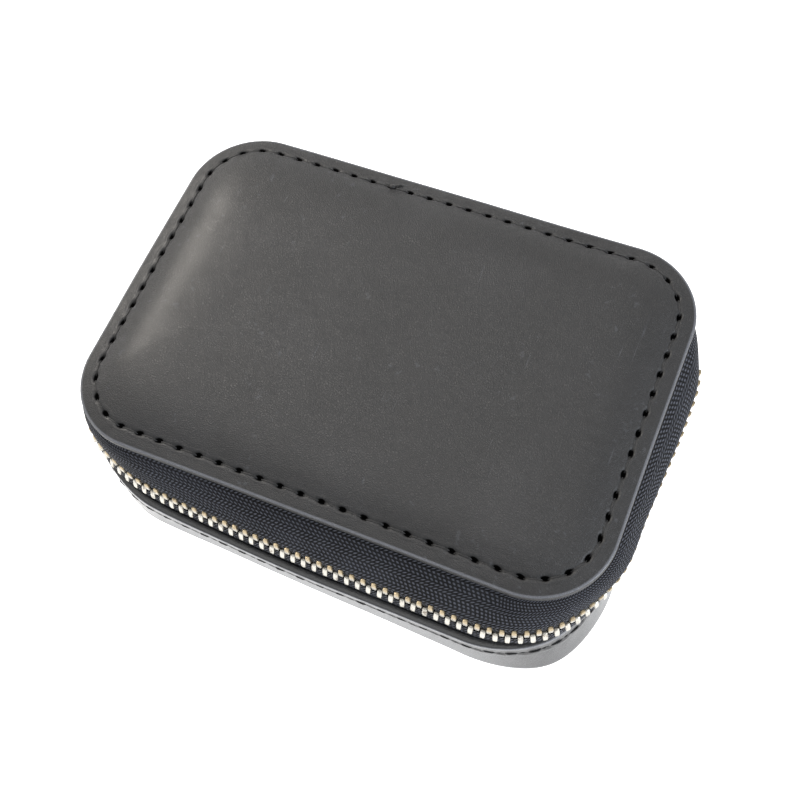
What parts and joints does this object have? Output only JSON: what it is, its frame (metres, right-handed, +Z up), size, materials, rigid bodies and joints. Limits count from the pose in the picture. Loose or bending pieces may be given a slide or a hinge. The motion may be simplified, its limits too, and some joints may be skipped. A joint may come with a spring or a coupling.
{
  "type": "zip coin purse",
  "caption": "Small flat leather coin purse: two moulded halves hinged along the back and closed by a metal zip round three sides.",
  "frame": {"origin": "centre of the flat bottom the purse rests on", "axes": "+Z up, +X along the purse, -Y towards the side that opens, the hinge strip at +Y"},
  "size_m": [0.1138, 0.0828, 0.0267],
  "materials": {
    "shell_leather": "semi-matt, wet moulded, black",
    "strip_leather": "matt, black",
    "lining_cloth": "matt",
    "zip_tape": "woven, black",
    "thread": "waxed thread, black",
    "zip_teeth": "pale, bright",
    "zip_metal": "polished"
  },
  "bodies": {
    "base": {"base_shell": "shell_leather", "base_lining": "lining_cloth", "base_stitching": "thread", "lower_zip_tape": "zip_tape", "lower_zip_teeth": "zip_teeth", "zip_tail_left": "zip_tape", "zip_tail_right": "zip_tape", "zip_top_stops": "zip_metal", "zip_bottom_stop": "zip_metal", "hinge_strip_lower": "strip_leather", "hinge_lining_lower": "lining_cloth"},
    "lid": {"lid_shell": "shell_leather", "lid_lining": "lining_cloth", "lid_stitching": "thread", "upper_zip_tape": "zip_tape", "upper_zip_teeth": "zip_teeth", "hinge_strip_upper": "strip_leather", "hinge_lining_upper": "lining_cloth"},
    "slider": {"slider_body": "zip_metal", "slider_bail": "zip_metal"},
    "pull": {"pull_tab": "zip_metal"}
  },
  "joints": [
    {"name": "lid_hinge", "type": "hinge", "parent": "base", "child": "lid", "pos_m": [0, 0.038, 0.015], "axis": [-1, 0, 0], "range_deg": [0, 120]},
    {"name": "slider_travel", "type": "hinge", "parent": "base", "child": "slider", "pos_m": [-0.0334, 0.0154, 0.0145], "axis": [0, 0, 1], "range_deg": [0, 27]},
    {"name": "pull_swing", "type": "hinge", "parent": "slider", "child": "pull", "pos_m": [-0.04712, 0.03633, 0.01526], "axis": [0.6209, -0.7399, -0.2588], "range_deg": [-50, 60]}
  ]
}
